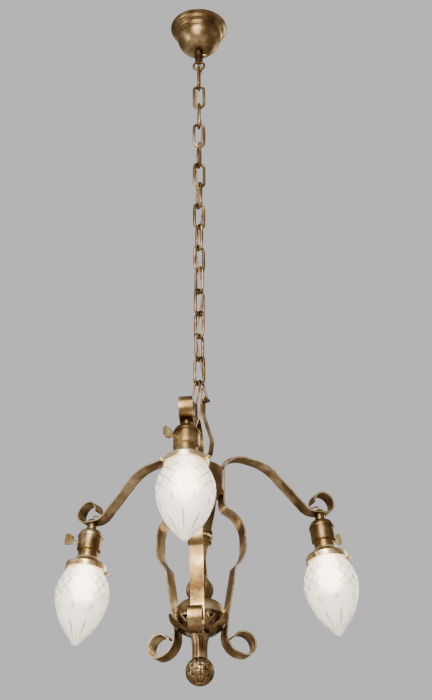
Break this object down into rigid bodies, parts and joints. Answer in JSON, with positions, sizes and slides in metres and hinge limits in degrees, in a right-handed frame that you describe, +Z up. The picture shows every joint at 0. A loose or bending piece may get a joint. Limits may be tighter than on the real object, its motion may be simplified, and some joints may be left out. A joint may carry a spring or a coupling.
{
  "type": "chandelier",
  "caption": "Chain-hung strap chandelier in aged brass: arched arms with end scrolls carry key sockets and closed cut-glass shades around a lyre of straps, stem, ball and finial",
  "frame": {"origin": "centre of the ceiling bar's top face, on the ceiling plane", "axes": "+Z up along the chain, +X along the ceiling bar, -Y towards the front arm"},
  "size_m": [0.4472, 0.3981, 1.1944],
  "materials": {
    "aged_brass": "aged, satin with dark hollows and rubbed edges",
    "bright_brass": "polished by use",
    "steel": "plain zinc plated",
    "cord_braid": "matt braided cover",
    "frosted_glass": "frosted with clear cuts",
    "lamp_glass": "frosted inside",
    "lamp_base": "plain drawn",
    "socket_core": "moulded"
  },
  "bodies": {
    "canopy_mount": {"ceiling_crossbar": "steel", "canopy_nipple": "aged_brass", "nipple_locknut": "steel", "canopy": "aged_brass", "canopy_collar": "aged_brass", "collar_set_screw": "bright_brass", "canopy_loop": "aged_brass"},
    "first_link": {"chain_link_first": "aged_brass", "supply_cord_first": "cord_braid"},
    "chain": {"chain_links": "aged_brass", "supply_cord": "cord_braid"},
    "last_link": {"chain_link_last": "aged_brass", "supply_cord_last": "cord_braid"},
    "fixture": {"hanger_links": "aged_brass", "crown_yoke": "aged_brass", "crown_nut": "aged_brass", "crown_cord": "cord_braid", "hub": "aged_brass", "hub_screws": "bright_brass", "stem_tube": "aged_brass", "stem_column": "aged_brass", "stem_urn": "aged_brass", "ball_upper": "aged_brass", "ball_lower": "aged_brass", "finial": "aged_brass", "arm_wires": "cord_braid", "socket_nipples": "aged_brass", "socket_nuts": "aged_brass", "socket_cores": "socket_core", "lamp_bases": "lamp_base", "lamp_bulbs": "lamp_glass", "arm_strap_front": "aged_brass", "socket_cap_front": "aged_brass", "socket_shell_front": "aged_brass", "shade_holder_front": "aged_brass", "glass_shade_front": "frosted_glass", "arm_strap_right": "aged_brass", "socket_cap_right": "aged_brass", "socket_shell_right": "aged_brass", "shade_holder_right": "aged_brass", "glass_shade_right": "frosted_glass", "arm_strap_left": "aged_brass", "socket_cap_left": "aged_brass", "socket_shell_left": "aged_brass", "shade_holder_left": "aged_brass", "glass_shade_left": "frosted_glass"},
    "key_front": {"socket_key_front": "aged_brass"},
    "screw_front_1": {"shade_screw_front_1": "bright_brass"},
    "screw_front_2": {"shade_screw_front_2": "bright_brass"},
    "screw_front_3": {"shade_screw_front_3": "bright_brass"},
    "key_right": {"socket_key_right": "aged_brass"},
    "screw_right_1": {"shade_screw_right_1": "bright_brass"},
    "screw_right_2": {"shade_screw_right_2": "bright_brass"},
    "screw_right_3": {"shade_screw_right_3": "bright_brass"},
    "key_left": {"socket_key_left": "aged_brass"},
    "screw_left_1": {"shade_screw_left_1": "bright_brass"},
    "screw_left_2": {"shade_screw_left_2": "bright_brass"},
    "screw_left_3": {"shade_screw_left_3": "bright_brass"}
  },
  "joints": [
    {"name": "first_link_swing", "type": "hinge", "parent": "canopy_mount", "child": "first_link", "pos_m": [0, 0, -0.095], "axis": [1, 0, 0], "range_deg": [-30, 30]},
    {"name": "chain_swing", "type": "hinge", "parent": "first_link", "child": "chain", "pos_m": [0, 0, -0.1369], "axis": [-0.0747, 0.9972, 0], "range_deg": [-30, 30]},
    {"name": "last_link_swing", "type": "hinge", "parent": "chain", "child": "last_link", "pos_m": [0, 0, -0.6764], "axis": [-0.5, -0.866, 0], "range_deg": [-30, 30]},
    {"name": "fixture_swing", "type": "hinge", "parent": "last_link", "child": "fixture", "pos_m": [0, 0, -0.7179], "axis": [-0.866, 0.5, 0], "range_deg": [-30, 30]},
    {"name": "key_front_turn", "type": "hinge", "parent": "fixture", "child": "key_front", "pos_m": [0, -0.2013, -0.92835], "axis": [-0.7071, -0.7011, 0.0923], "continuous": true},
    {"name": "screw_front_1_slide", "type": "slide", "parent": "fixture", "child": "screw_front_1", "axis": [0.866, -0.4957, 0.0653], "range_m": [0, 0.0025]},
    {"name": "screw_front_2_slide", "type": "slide", "parent": "fixture", "child": "screw_front_2", "axis": [0, 0.9914, -0.1305], "range_m": [0, 0.0025]},
    {"name": "screw_front_3_slide", "type": "slide", "parent": "fixture", "child": "screw_front_3", "axis": [-0.866, -0.4957, 0.0653], "range_m": [0, 0.0025]},
    {"name": "key_right_turn", "type": "hinge", "parent": "fixture", "child": "key_right", "pos_m": [0.17433, 0.10065, -0.92835], "axis": [0.6621, 0.7391, 0.1241], "continuous": true},
    {"name": "screw_right_1_slide", "type": "slide", "parent": "fixture", "child": "screw_right_1", "axis": [0.9878, 0.1006, 0.1192], "range_m": [0, 0.0025]},
    {"name": "screw_right_2_slide", "type": "slide", "parent": "fixture", "child": "screw_right_2", "axis": [-0.587, 0.8095, -0.0136], "range_m": [0, 0.0025]},
    {"name": "screw_right_3_slide", "type": "slide", "parent": "fixture", "child": "screw_right_3", "axis": [-0.4007, -0.9101, -0.1056], "range_m": [0, 0.0025]},
    {"name": "key_left_turn", "type": "hinge", "parent": "fixture", "child": "key_left", "pos_m": [-0.17433, 0.10065, -0.92835], "axis": [-0.8623, -0.5021, 0.0653], "continuous": true},
    {"name": "screw_left_1_slide", "type": "slide", "parent": "fixture", "child": "screw_left_1", "axis": [-0.8216, 0.5549, 0.1302], "range_m": [0, 0.0025]},
    {"name": "screw_left_2_slide", "type": "slide", "parent": "fixture", "child": "screw_left_2", "axis": [-0.073, -0.9957, -0.0572], "range_m": [0, 0.0025]},
    {"name": "screw_left_3_slide", "type": "slide", "parent": "fixture", "child": "screw_left_3", "axis": [0.8947, 0.4408, -0.073], "range_m": [0, 0.0025]}
  ]
}
